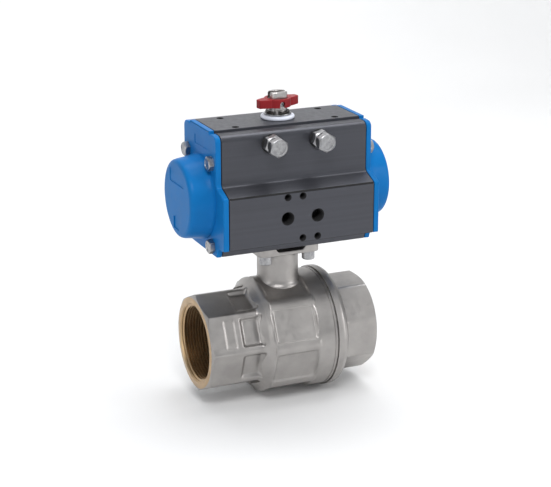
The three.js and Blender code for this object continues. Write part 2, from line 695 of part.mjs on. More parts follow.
// A forged body: octagonal end, rounded shoulder, eight-sided barrel, round ring, neck and mounting flange.
function valveBody() {
  const outside = join(
    octagonEnd(LEFT_OCTAGON, LEFT_TURN, VALVE_LEFT, SHOULDER_START + 2),
    revolve([
      [0, SHOULDER_START],
      [36.4, SHOULDER_START],
      [38.6, -27.2],
      [41.4, -23.6],
      [44, -21.4],
      [SHOULDER_RADIUS, -20.6],
      [SHOULDER_RADIUS, FACETS_LEFT + 1],
      [0, FACETS_LEFT + 1],
    ], 'x', [0, 0, 0], FINE),
    prism('x', polygon(8, BARREL_CORNER, LEFT_TURN, BARREL_ROUNDING), FACETS_LEFT, FACETS_RIGHT + 1),
    revolve([
      [0, FACETS_RIGHT],
      [RING_RADIUS - 0.6, FACETS_RIGHT],
      [RING_RADIUS, BODY_END],
      [0, BODY_END],
    ], 'x', [0, 0, 0], FINE),
    revolve([[0, 20], [18.4, 20], [18.4, 41.2], [16.6, 43], [NECK_RADIUS, 45.8], [NECK_RADIUS, 70], [0, 70]],
      'z', [0, 0, 0], MEDIUM),
    flangePlate(),
  );
  const ballChamber = revolve([
    [0, -SEAT_POCKET_END],
    [SEAT_POCKET, -SEAT_POCKET_END],
    [SEAT_POCKET, -20.5],
    [BALL_ROOM, -8],
    [BALL_ROOM, SPIGOT_START - GAP],
    [SPIGOT_RADIUS + GAP, SPIGOT_START - GAP],
    [SPIGOT_RADIUS + GAP, BODY_END + 1],
    [0, BODY_END + 1],
  ], 'x', [0, 0, 0], FINE);
  const tools = [
    rod('x', SOCKET_RADIUS, VALVE_LEFT - 1, VALVE_LEFT + SOCKET_DEPTH, [0, 0, 0], FINE),
    rod('x', FLOW_RADIUS, -60, 0, [0, 0, 0], MEDIUM),
    ballChamber,
    rod('z', 12.3, 0, 44.4, [0, 0, 0], MEDIUM),
    rod('z', STEM_BORE, 0, 80, [0, 0, 0], MEDIUM),
    rod('z', PACKING_BORE, 58, 80, [0, 0, 0], MEDIUM),
  ];
  for (const x of [-FLANGE_SCREW, FLANGE_SCREW]) {
    for (const y of [-FLANGE_SCREW, FLANGE_SCREW]) {
      tools.push(rod('z', CLEARANCE_HOLE, 60, 80, [x, y, 0], SMALL));
    }
  }
  node('valve_body', cut(outside, ...tools), 'plated_brass');
}

function endConnector() {
  const outside = join(
    octagonEnd(RIGHT_OCTAGON, RIGHT_TURN, VALVE_RIGHT, COLLAR_START),
    revolve([
      [0, COLLAR_START],
      [COLLAR_RADIUS, COLLAR_START],
      [COLLAR_RADIUS, 36],
      [45.2, 39],
      [41.8, 41.2],
      [38.6, 41.8],
      [0, 41.8],
    ], 'x', [0, 0, 0], FINE),
    rod('x', SPIGOT_RADIUS, SPIGOT_START, 36, [0, 0, 0], FINE),
  );
  const tools = [
    rod('x', SOCKET_RADIUS, VALVE_RIGHT - SOCKET_DEPTH, VALVE_RIGHT + 1, [0, 0, 0], FINE),
    rod('x', FLOW_RADIUS, 0, 60, [0, 0, 0], MEDIUM),
    rod('x', SEAT_POCKET, 0, SEAT_POCKET_END, [0, 0, 0], MEDIUM),
    rod('x', 34.6, 0, 26.2, [0, 0, 0], MEDIUM),
  ];
  node('end_connector', cut(outside, ...tools), 'plated_brass');
  const seal = tube('x', SPIGOT_RADIUS + 1, RING_RADIUS - 0.8, BODY_END + 0.1, COLLAR_START - 0.1, [0, 0, 0], FINE);
  node('body_seal', seal, 'ptfe');
}

function ballAndSeats() {
  const sphere = new THREE.SphereGeometry(BALL_RADIUS, 28, COARSE);
  const bore = rod('x', FLOW_RADIUS, -40, 40, [0, 0, 0], MEDIUM);
  const slot = box([-4, 4], [-20, 20], [31.8, 40]);
  node('ball', cut(solid(sphere), bore, slot), 'stainless');
  const seat = revolve([[25.3, 28.2], [26.8, 27], [32.1, 27], [32.1, 34], [25.3, 34]], 'x', [0, 0, 0], MEDIUM);
  node('seat_right', seat, 'ptfe');
  node('seat_left', mirrored(seat), 'ptfe');
}

// The tang drives the ball, the collar keeps the stem in, and the square top enters the pinion's socket.
function stemSet() {
  const half = STEM_SQUARE / 2;
  const round = revolve([[0, 38.4], [12, 38.4], [12, 42.3], [STEM_RADIUS, 42.3], [STEM_RADIUS, 72.6], [0, 72.6]], 'z');
  const square = box([-half, half], [-half, half], [72, 92]).intersect(rod('z', STEM_RADIUS, 70, 95));
  const tang = box([-3.7, 3.7], [-8, 8], [32.1, 39]);
  node('stem', join(round, square, tang), 'stainless');
  node('stem_thrust_washer', tube('z', STEM_BORE, 12, 42.6, 44.1), 'ptfe');
  node('stem_packing', tube('z', STEM_BORE, PACKING_BORE - GAP, 58.2, 64.2), 'ptfe');
  const gland = cut(tube('z', STEM_BORE, PACKING_BORE - GAP, 64.5, 71), box([-14, 14], [-1.5, 1.5], [69.4, 72]));
  node('gland_nut', gland, 'brass');
}

function mountingScrews() {
  const places = [[-1, -1], [1, -1], [1, 1], [-1, 1]];
  places.forEach(([sideX, sideY], i) => {
    const at = [sideX * FLANGE_SCREW, sideY * FLANGE_SCREW, 0];
    const headTop = FLANGE_BOTTOM - REST_GAP;
    const head = headTop - SCREW_HEAD_HEIGHT;
    const screw = revolve([
      [0, head], [4.1, head], [4.9, head + 0.8], [4.9, headTop], [2.9, headTop], [2.9, 85], [0, 85],
    ], 'z', at, COARSE);
    const socket = prism('z', hexagon(5), head - 1, head + 3, at);
    node(`mounting_screw_${i + 1}`, cut(screw, socket), 'stainless');
  });
}

actuatorBody();
ends();
pinion();
stopCam();
bearingsAndRings();
shaftEnd();
positionIndicator();
pistonSet();
travelStop('left', -STOP_X, THREE.MathUtils.degToRad(6), THREE.MathUtils.degToRad(15));
travelStop('right', STOP_X, THREE.MathUtils.degToRad(0), THREE.MathUtils.degToRad(17));
valveBody();
endConnector();
ballAndSeats();
stemSet();
mountingScrews();

export default valve;
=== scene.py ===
"""Looks for a pneumatic rack-and-pinion actuator on a two-piece threaded ball valve."""

import json
import math

import bmesh
import bpy
from mathutils import Matrix, Vector


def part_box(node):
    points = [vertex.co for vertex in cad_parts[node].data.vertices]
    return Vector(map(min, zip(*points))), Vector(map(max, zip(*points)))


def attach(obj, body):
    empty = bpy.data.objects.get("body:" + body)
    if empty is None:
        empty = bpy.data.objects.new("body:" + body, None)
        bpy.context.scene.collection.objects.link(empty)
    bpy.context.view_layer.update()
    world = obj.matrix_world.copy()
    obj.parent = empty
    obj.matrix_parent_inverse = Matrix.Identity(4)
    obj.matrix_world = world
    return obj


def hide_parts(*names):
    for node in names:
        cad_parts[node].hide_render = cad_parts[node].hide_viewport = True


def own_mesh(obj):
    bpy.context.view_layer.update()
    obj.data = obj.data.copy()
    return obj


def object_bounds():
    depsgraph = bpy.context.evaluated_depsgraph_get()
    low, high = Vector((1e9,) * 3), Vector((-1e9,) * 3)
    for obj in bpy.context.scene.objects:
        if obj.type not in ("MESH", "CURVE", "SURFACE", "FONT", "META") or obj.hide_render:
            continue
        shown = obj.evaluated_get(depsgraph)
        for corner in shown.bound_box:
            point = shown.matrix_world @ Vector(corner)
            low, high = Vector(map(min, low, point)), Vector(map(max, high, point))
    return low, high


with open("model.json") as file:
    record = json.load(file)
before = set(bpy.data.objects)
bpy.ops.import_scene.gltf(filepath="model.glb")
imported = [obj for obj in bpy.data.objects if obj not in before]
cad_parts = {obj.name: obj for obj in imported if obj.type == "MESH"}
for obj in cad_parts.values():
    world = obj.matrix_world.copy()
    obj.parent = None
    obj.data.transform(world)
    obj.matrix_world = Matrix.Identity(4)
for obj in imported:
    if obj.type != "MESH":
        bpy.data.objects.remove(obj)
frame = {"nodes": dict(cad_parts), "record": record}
bounds_at_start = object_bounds()

MM = 0.001
FINE = 128
ROUND = 64
SMALL = 36


def box_mm(node):
    low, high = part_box(node)
    return low / MM, high / MM


# ---------- driving values ----------
# Lengths are in millimetres, except the camera's place and aim, which are in metres. Outside sizes and
# places come from the frame. Sizes that no box gives, such as a bore or a thread, repeat the part's own.

BODY_LOW, BODY_HIGH = box_mm("actuator_body")
BODY_TOP = BODY_HIGH.z
BODY_BOTTOM = BODY_LOW.z
BODY_HALF = BODY_HIGH.x
SIDE = BODY_HIGH.y
PAD_FACE = BODY_LOW.y

SEAT_GAP = 0.1
PAST_THE_ENDS = 60

CAP_LOW, CAP_HIGH = box_mm("end_cap_right")
CAP_INNER = CAP_LOW.x
CAP_SCREW_HEAD = 4
CAP_OUTER = box_mm("cap_screw_right_1")[1].x - CAP_SCREW_HEAD - SEAT_GAP
DOME_END = CAP_HIGH.x
DOME_RADIUS = 31.8
DOME_HOLLOW = 25.2
DOME_FLOOR = DOME_END - 3.8

PISTON_LOW, PISTON_HIGH = box_mm("piston_right")
AXIS_Z = (PISTON_LOW.z + PISTON_HIGH.z) / 2
BORE_RADIUS = 26
CAM_ROOM_RADIUS = 25.2
CAM_ROOM_TOP = 163.4
UPPER_BEARING_BORE = 10.6
LOWER_SHAFT_BORE = 13.6
LOWER_BEARING_BORE = 15.5
LOWER_BEARING_START = 79.2

# A thread is its minor radius, major radius and pitch.
M5 = (2.1, 2.5, 0.8)
M8 = (3.45, 4, 1.25)
AIR_THREAD = (4.4, 4.86, 0.907)
PIPE_THREAD = (28.3, 29.8, 2.309)
AIR_THREAD_DEPTH = 8
PIPE_THREAD_DEPTH = 25
PAD_SCREW_DEPTH = 7.5
TOP_SCREW_DEPTH = 9
M6_HOLE = 3.3

PORT_X = 12
PORT_Z = AXIS_Z - 10.8
PORT_RADIUS = AIR_THREAD[0]
PAD_SCREW_Z = 16
TOP_SCREW = (40, 15)
FLANGE_SCREW = 17.68
STOP_LOW, STOP_HIGH = box_mm("stop_lock_nut_right")
STOP_X = (STOP_LOW.x + STOP_HIGH.x) / 2
STOP_Z = (STOP_LOW.z + STOP_HIGH.z) / 2
STOP_FACE = box_mm("stop_seal_washer_right")[1].y + SEAT_GAP
STOP_HEX = 13
STOP_HEAD = 5.3
STOP_BORE = 4.6
STOP_SPOT_FACE = 8.6
HEAD_AND_NUT_DEGREES = {"left": (6, 15), "right": (0, 17)}
CAP_SCREW_HEX = 9.8
CAP_SCREW_SHANK = 2.9
CAP_SCREW_RADIANS = (0.1, 0.62, 0.35, -0.08)

SHAFT_TOP = box_mm("pinion")[1].z
GEAR_TEETH = 14
GEAR_TIP = 11.8
GEAR_ROOT = 8.8
GEAR_HALF_HEIGHT = 11
SOCKET_HALF = 7
SOCKET_TOP = 94
SLOT_HALF = 2
SLOT_DEPTH = 4.5
SHAFT_FLAT = 6.1
SHAFT_FLAT_START = 176
SNAP_RING_TURN = math.radians(-118)
INDICATOR_TURN = math.radians(10)

VALVE_LOW, VALVE_HIGH = box_mm("valve_body")
PORT_LOW, PORT_HIGH = box_mm("end_connector")
VALVE_LEFT = VALVE_LOW.x
VALVE_RIGHT = PORT_HIGH.x
SPIGOT_START = PORT_LOW.x
BODY_END = VALVE_HIGH.x
COLLAR_START = BODY_END + 0.5
COLLAR_RADIUS = 47
RING_RADIUS = 46
BARREL_CORNER = 47
FACETS = (-20.5, 15)
UPPER_FACETS = (1, 2)
FRONT_FACET = 3
LEFT_OCTAGON = (71, math.radians(-3))
RIGHT_OCTAGON = (70.5, math.radians(27))
FLANGE_TOP = VALVE_HIGH.z
FLANGE_BOTTOM = FLANGE_TOP - 7.7
FLANGE_HALF = 25
FLANGE_CORNER = 6
RELIEF_DEPTH = 4.7
RELIEF_HALF = 10
RELIEF_HALF_ABOVE = 14.2
SOCKET_SCREW_HEAD = 7
BALL_RADIUS = 37.5
BALL_ROOM = 38.3
FLOW_RADIUS = 25
SEAT_POCKET = 32.4
SEAT_POCKET_END = 34.3
SPIGOT_RADIUS = 42
SPIGOT_BORE = 42.3
STEM_WASHER_BORE = 12.3
STEM_BORE = 9.5
PACKING_BORE = 12.9
BODY_GRAIN = 0.62
FLANGE_GRAIN = 0.45

COIL_RADIUS = 17.5
COIL_TURNS = 5.75
CLOSED_PITCH = 3.3
WIRE_RADIUS = 1.5

CAMERA_LENS = 104.5
EYE = (-0.4685, -1.0630, 0.4459)
LOOKED_AT = (-0.0016, 0, 0.0708)


# ---------- outlines ----------

def rounded(corners, closed=True, steps=6):
    """Joins corners (u, v, tangent length) with true arcs."""
    points = []
    last = len(corners) - 1
    for i, corner in enumerate(corners):
        here = Vector(corner[:2])
        tangent = corner[2] if len(corner) > 2 else 0
        if tangent == 0 or (not closed and i in (0, last)):
            points.append((here.x, here.y))
            continue
        back = (Vector(corners[i - 1][:2]) - here).normalized()
        ahead = (Vector(corners[(i + 1) % len(corners)][:2]) - here).normalized()
        half = back.angle(ahead) / 2
        middle = here + (back + ahead).normalized() * tangent / math.cos(half)
        start = here + back * tangent - middle
        end = here + ahead * tangent - middle
        first = math.atan2(start.y, start.x)
        turn = (math.atan2(end.y, end.x) - first + math.pi) % (2 * math.pi) - math.pi
        radius = start.length
        for k in range(steps + 1):
            angle = first + turn * k / steps
            points.append((middle.x + radius * math.cos(angle), middle.y + radius * math.sin(angle)))
    return points


def anticlockwise(points):
    area = sum(points[i - 1][0] * p[1] - p[0] * points[i - 1][1] for i, p in enumerate(points))
    return points if area > 0 else points[::-1]


def offset(points, amount):
    """Moves an anticlockwise outline inwards with mitred corners."""
    moved = []
    for i, point in enumerate(points):
        here = Vector(point)
        arriving = (here - Vector(points[i - 1])).normalized()
        leaving = (Vector(points[(i + 1) % len(points)]) - here).normalized()
        across = Vector((-arriving.y - leaving.y, arriving.x + leaving.x))
        here += across * 2 * amount / max(across.length_squared, 0.3)
        moved.append((here.x, here.y))
    return moved


def polygon(sides, radius, turn=0, rounding=0.0):
    angles = [turn + i * 2 * math.pi / sides for i in range(sides)]
    return rounded([(radius * math.cos(a), radius * math.sin(a), rounding) for a in angles])


def hexagon(across, turn=0, rounding=0.0):
    return polygon(6, across / math.sqrt(3), turn, rounding)


def rectangle(low, high, rounding=0.0):
    return rounded([
        (low[0], low[1], rounding), (high[0], low[1], rounding),
        (high[0], high[1], rounding), (low[0], high[1], rounding),
    ])


# ---------- solids ----------

LAY = {
    "x": lambda u, v, h: (h, u, v),
    "y": lambda u, v, h: (v, h, u),
    "z": lambda u, v, h: (u, v, h),
}


def mesh_piece(name, points, faces):
    mesh = bpy.data.meshes.new(name)
    mesh.from_pydata([Vector(p) * MM for p in points], [], faces)
    shape = bmesh.new()
    shape.from_mesh(mesh)
    bmesh.ops.remove_doubles(shape, verts=shape.verts, dist=1e-7)
    bmesh.ops.recalc_face_normals(shape, faces=shape.faces)
    if shape.calc_volume(signed=True) < 0:
        bmesh.ops.reverse_faces(shape, faces=shape.faces)
    shape.to_mesh(mesh)
    shape.free()
    piece = bpy.data.objects.new(name, mesh)
    bpy.context.scene.collection.objects.link(piece)
    return piece


def loft(name, sections, axis, at=(0, 0, 0)):
    """Skins equal outlines, each given as (height, points), and closes both ends."""
    lay = LAY[axis]
    points = []
    for height, outline in sections:
        points += [Vector(lay(u, v, height)) + Vector(at) for u, v in outline]
    count = len(sections[0][1])
    faces = []
    for level in range(len(sections) - 1):
        for i in range(count):
            a = level * count + i
            b = level * count + (i + 1) % count
            faces.append((a, b, b + count, a + count))
    faces.append(tuple(range(count)))
    faces.append(tuple(range((len(sections) - 1) * count, len(sections) * count)))
    return mesh_piece(name, points, faces)


def prism(name, outline, low, high, axis, at=(0, 0, 0), edges=(0, 0), steps=3):
    """Extrudes an outline; edges are the rounding at its low and high ends."""
    outline = anticlockwise(outline)
    sections = []
    for end, edge, way in ((low, edges[0], 1), (high, edges[1], -1)):
        levels = []
        for k in range(steps + 1 if edge else 1):
            angle = k * math.pi / 2 / steps if edge else math.pi / 2
            height = end + way * edge * (1 - math.cos(angle))
            levels.append((height, offset(outline, edge * (1 - math.sin(angle)))))
        sections += levels if way > 0 else levels[::-1]
    return loft(name, sections, axis, at)


def lathe(name, profile, axis, at=(0, 0, 0), segments=ROUND):
    """Revolves (radius, height) points, which start and end on the axis or close on themselves."""
    lay = LAY[axis]
    closed = profile[0][0] > 0
    points = []
    rings = []
    for radius, height in profile:
        turns = segments if radius > 0 else 1
        rings.append([len(points) + i for i in range(turns)])
        for i in range(turns):
            angle = i * 2 * math.pi / segments
            point = lay(radius * math.cos(angle), radius * math.sin(angle), height)
            points.append(Vector(point) + Vector(at))
    faces = []
    pairs = list(zip(rings, rings[1:]))
    if closed:
        pairs.append((rings[-1], rings[0]))
    for first, second in pairs:
        for i in range(segments):
            j = (i + 1) % segments
            corners = [first[i % len(first)], first[j % len(first)]]
            corners += [second[j % len(second)], second[i % len(second)]]
            corners = list(dict.fromkeys(corners))
            if len(corners) > 2:
                faces.append(tuple(corners))
    return mesh_piece(name, points, faces)


def rod(axis, radius, low, high, at=(0, 0, 0), segments=ROUND):
    return lathe("rod", [(0, low), (radius, low), (radius, high), (0, high)], axis, at, segments)


def block(low, high, rounding=0.0):
    """A block between two corners, its upright edges rounded."""
    return prism("block", rectangle(low[:2], high[:2], rounding), low[2], high[2], "z")


def bore(axis, radius, mouth, bottom, at=(0, 0, 0), chamfer=0.4, segments=SMALL):
    """A cutter for a drilled hole with a chamfered mouth."""
    way = 1 if bottom > mouth else -1
    return lathe("bore", [
        (0, mouth - way),
        (radius + chamfer + 1, mouth - way),
        (radius, mouth + way * chamfer),
        (radius, bottom),
        (0, bottom + way * radius * 0.3),
    ], axis, at, segments)


def thread_rings(minor, major, pitch, start, end):
    """Profile points of a thread, drawn as rings, from start to end."""
    way = 1 if end > start else -1
    points = []
    for i in range(int(abs(end - start) / pitch)):
        at = start + way * i * pitch
        points.append((major, at + way * pitch * 0.06))
        points.append((major, at + way * pitch * 0.18))
        points.append((minor, at + way * pitch * 0.56))
        points.append((minor, at + way * pitch * 0.68))
    return points


def threaded_bore(axis, thread, depth, mouth, way, at=(0, 0, 0), flare=0.25, segments=SMALL):
    """A cutter for a tapped hole that runs from its mouth towards way, which is 1 or -1."""
    minor, major, pitch = thread
    end = mouth + way * depth
    profile = [(0, mouth - way), (major + flare + 1, mouth - way), (major, mouth + way * flare)]
    profile += thread_rings(minor, major, pitch, mouth + way * (flare + 0.1), end)
    profile += [(minor, end), (0, end)]
    return lathe("tapped", profile, axis, at, segments)


def bake(piece):
    """Keeps the shape that the piece's modifiers give."""
    graph = bpy.context.evaluated_depsgraph_get()
    mesh = bpy.data.meshes.new_from_object(piece.evaluated_get(graph))
    piece.modifiers.clear()
    piece.data = mesh
    return piece


def combine(piece, tools, operation):
    for tool in tools:
        step = piece.modifiers.new("combine", "BOOLEAN")
        step.solver = "MANIFOLD"
        step.operation = operation
        step.object = tool
    bpy.context.view_layer.update()
    bake(piece)
    for tool in tools:
        bpy.data.objects.remove(tool)
    return piece


def join(piece, *others):
    return combine(piece, others, "UNION")


def carve(piece, *tools):
    return combine(piece, tools, "DIFFERENCE")


def keep(piece, tool):
    return combine(piece, [tool], "INTERSECT")


def forged(piece, grain):
    """Softens every edge as a die-forged surface has them."""
    skin = piece.modifiers.new("skin", "REMESH")
    skin.mode = "VOXEL"
    skin.voxel_size = grain * MM
    soften = piece.modifiers.new("soften", "SMOOTH")
    soften.factor = 0.5
    soften.iterations = 5
    return bake(piece)


def without_slivers(piece):
    """Collapses the needle faces that cutting a fine mesh leaves behind."""
    shape = bmesh.new()
    shape.from_mesh(piece.data)
    bmesh.ops.dissolve_degenerate(shape, edges=shape.edges, dist=0.03 * MM)
    shape.to_mesh(piece.data)
    shape.free()
    return piece


def mirrored(piece, name):
    """A copy across the X = 0 plane."""
    mesh = piece.data.copy()
    mesh.transform(Matrix.Scale(-1, 4, (1, 0, 0)))
    mesh.flip_normals()
    twin = bpy.data.objects.new(name, mesh)
    bpy.context.scene.collection.objects.link(twin)
    return twin


def turned(piece, angle, axis):
    piece.data.transform(Matrix.Rotation(angle, 4, axis))
    return piece


# ---------- materials ----------

def grey(value):
    return (value, value, value, 1)


class Look:
    """Builds one node material around its Principled shader."""

    def __init__(self, name):
        self.material = bpy.data.materials.new(name)
        self.material.use_nodes = True
        self.tree = self.material.node_tree
        self.shader = self.tree.nodes["Principled BSDF"]
        self.where = self.add("ShaderNodeTexCoord").outputs["Object"]

    def add(self, kind, **inputs):
        made = self.tree.nodes.new(kind)
        for key, value in inputs.items():
            made.inputs[key.replace("_", " ")].default_value = value
        return made

    def link(self, source, target):
        self.tree.links.new(source, target)

    def noise(self, scale, detail=3.0, stretch=(1, 1, 1), rough=0.55):
        mapping = self.add("ShaderNodeMapping")
        mapping.inputs["Scale"].default_value = stretch
        self.link(self.where, mapping.inputs["Vector"])
        texture = self.add("ShaderNodeTexNoise", Scale=scale, Detail=detail, Roughness=rough)
        self.link(mapping.outputs["Vector"], texture.inputs["Vector"])
        return texture.outputs["Fac"]

    def ramp(self, source, low, high, dark, light):
        ramp = self.add("ShaderNodeValToRGB")
        ramp.color_ramp.elements[0].position = low
        ramp.color_ramp.elements[1].position = high
        ramp.color_ramp.elements[0].color = dark
        ramp.color_ramp.elements[1].color = light
        self.link(source, ramp.inputs["Fac"])
        return ramp.outputs["Color"]

    def colour(self, source, low, high, dark, light):
        self.link(self.ramp(source, low, high, dark, light), self.shader.inputs["Base Color"])

    def roughness(self, source, low, high):
        self.link(self.ramp(source, 0.3, 0.7, grey(low), grey(high)), self.shader.inputs["Roughness"])

    def bump(self, *layers):
        """Stacks bumps given as (source, height in millimetres)."""
        normal = None
        for source, height in layers:
            step = self.add("ShaderNodeBump", Strength=1.0, Distance=height * MM)
            self.link(source, step.inputs["Height"])
            if normal:
                self.link(normal, step.inputs["Normal"])
            normal = step.outputs["Normal"]
        self.link(normal, self.shader.inputs["Normal"])

    def set(self, **inputs):
        for key, value in inputs.items():
            self.shader.inputs[key.replace("_", " ")].default_value = value


def shades(colour, spread):
    dark = tuple(max(c * (1 - spread), 0) for c in colour) + (1,)
    light = tuple(min(c * (1 + spread), 1) for c in colour) + (1,)
    return dark, light


def simple_look(name, colour, metallic, rough, spread=0.08, scale=180, bump=0.02, **extra):
    """A material with slightly uneven colour and gloss over a fine surface texture."""
    look = Look(name)
    grain = look.noise(scale)
    look.colour(grain, 0.3, 0.7, *shades(colour, spread))
    look.roughness(look.noise(scale * 0.35, 4), max(rough - 0.06, 0.02), rough + 0.06)
    look.bump((look.noise(scale * 8, 2), bump))
    look.set(Metallic=metallic, **extra)
    return look.material


def anodised_look():
    """Charcoal anodised extrusion: long faint die lines under a fine grain."""
    look = Look("anodised_aluminium")
    lines = look.noise(420, 2, (0.012, 1, 1))
    look.colour(lines, 0.3, 0.7, *shades((0.068, 0.070, 0.082), 0.05))
    look.roughness(look.noise(300, 3), 0.34, 0.42)
    look.bump((lines, 0.003), (look.noise(4000, 2), 0.004))
    look.set(Metallic=0.6)
    return look.material


def coated_look():
    """Glossy blue coating with a faint orange-peel ripple."""
    look = Look("coated_blue")
    look.colour(look.noise(60, 3), 0.3, 0.7, *shades((0.007, 0.148, 0.42), 0.05))
    look.roughness(look.noise(120, 3), 0.3, 0.38)
    look.bump((look.noise(300, 2), 0.012))
    look.set(Coat_Weight=0.1, Coat_Roughness=0.15, Coat_IOR=1.3, IOR=1.12)
    return look.material


def plated_look():
    """Satin nickel over a blasted forging, a little warm and stained."""
    look = Look("plated_brass")
    look.colour(look.noise(70, 5), 0.3, 0.7, *shades((0.39, 0.373, 0.36), 0.09))
    look.roughness(look.noise(240, 4), 0.38, 0.5)
    look.bump((look.noise(1300, 3), 0.02), (look.noise(110, 3), 0.03))
    look.set(Metallic=1.0)
    return look.material


def zinc_look():
    """Bright fasteners whose faces are mottled by handling."""
    look = Look("stainless")
    look.colour(look.noise(420, 5, rough=0.6), 0.35, 0.65, (0.28, 0.28, 0.29, 1), (0.44, 0.44, 0.447, 1))
    look.roughness(look.noise(500, 4), 0.3, 0.4)
    look.bump((look.noise(700, 3), 0.004))
    look.set(Metallic=1.0)
    return look.material


MATERIALS = {
    "anodised_aluminium": anodised_look(),
    "coated_blue": coated_look(),
    "plated_brass": plated_look(),
    "stainless": zinc_look(),
    "pinion_steel": simple_look("pinion_steel", (0.47, 0.45, 0.44), 1.0, 0.3, 0.12, bump=0.003),
    "cast_aluminium": simple_look("cast_aluminium", (0.5, 0.5, 0.51), 1.0, 0.42, 0.12),
    "brass": simple_look("brass", (0.43, 0.30, 0.17), 1.0, 0.34, 0.1, bump=0.006),
    # Near-black finish for the walls inside the air ports and screw holes: painted shade for the dark that
    # the holes get because little light reaches in.
    "hole_shade_black": simple_look("hole_shade_black", (0.004, 0.004, 0.005), 0.0, 0.8, 0.2),
    "chromed_ball": simple_look("chromed_ball", (0.62, 0.62, 0.63), 1.0, 0.14, 0.05, bump=0.004),
    "spring_steel": simple_look("spring_steel", (0.055, 0.05, 0.046), 0.8, 0.4, 0.2, bump=0.004),
    "rubber": simple_look("rubber", (0.012, 0.012, 0.013), 0.0, 0.75, 0.25),
    "acetal": simple_look("acetal", (0.62, 0.60, 0.55), 0.0, 0.45, 0.05),
    "ptfe": simple_look("ptfe", (0.8, 0.79, 0.75), 0.0, 0.5, 0.04),
    "white_plastic": simple_look("white_plastic", (0.76, 0.79, 0.88), 0.0, 0.42, 0.04),
    "red_plastic": simple_look("red_plastic", (0.26, 0.010, 0.014), 0.0, 0.42, 0.06, Specular_IOR_Level=0.25),
}


def mark_faces(piece, main, second, test):
    """Gives the second finish to the faces whose centre and normal pass the test."""
    piece.data.materials.clear()
    piece.data.materials.append(MATERIALS[main])
    piece.data.materials.append(MATERIALS[second])
    for face in piece.data.polygons:
        face.material_index = 1 if test(face.center / MM, face.normal) else 0


def finish_piece(piece, body, slot, *nodes, angle=32):
    """Gives a piece its finish, shading and place in the frame."""
    if not (len(piece.data.materials) and piece.data.materials[0]):
        piece.data.materials.clear()
        piece.data.materials.append(MATERIALS[slot])
    piece.data.shade_smooth()
    piece.data.set_sharp_from_angle(angle=math.radians(angle))
    weigh = piece.modifiers.new("weigh", "WEIGHTED_NORMAL")
    weigh.keep_sharp = True
    weigh.weight = 60
    bake(piece)
    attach(piece, body)
    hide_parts(*nodes)
    return piece


# ---------- actuator body, caps and screws ----------

def body_outline():
    """Section in Y and Z: raised top, shouldered box, air-supply pad in front."""
    return rounded([
        (-19.3, BODY_TOP, 0.4),
        (-19.3, BODY_TOP - 2.3, 0.3),
        (-21.4, BODY_TOP - 2.3),
        (-22, BODY_TOP - 1.6),
        (-SIDE, BODY_TOP - 2, 4.5),
        (-SIDE, 130.2, 2.6),
        (PAD_FACE, 124.6, 1.4),
        (PAD_FACE, 85.5, 0.8),
        (-34, 84, 2),
        (-31.5, BODY_BOTTOM, 0.6),
        (SIDE, BODY_BOTTOM, 6),
        (SIDE, BODY_TOP - 2, 4.5),
        (22, BODY_TOP - 1.6),
        (21.4, BODY_TOP - 2.3),
        (19.3, BODY_TOP - 2.3, 0.3),
        (19.3, BODY_TOP, 0.4),
    ])


def four_corners(x, y):
    return [(-x, -y), (-x, y), (x, -y), (x, y)]


def cap_screw_places():
    places = []
    for i in range(4):
        low, high = box_mm(f"cap_screw_right_{i + 1}")
        places.append((0, (low.y + high.y) / 2, (low.z + high.z) / 2))
    return places


def in_small_hole(place, normal):
    """Whether a face lies inside an air port or one of the pad and top screw holes."""
    x, y, z = place
    behind_pad = PAD_FACE + 0.1 < y < -20 and abs(x) < 18 and abs(z - PORT_Z) < 20
    in_pad = behind_pad and abs(normal.z) + abs(normal.x) > 0.01
    under_top = BODY_TOP - 12 < z < BODY_TOP - 0.1
    in_top = under_top and abs(abs(x) - TOP_SCREW[0]) < 3 and abs(abs(y) - TOP_SCREW[1]) < 3
    return in_pad or in_top


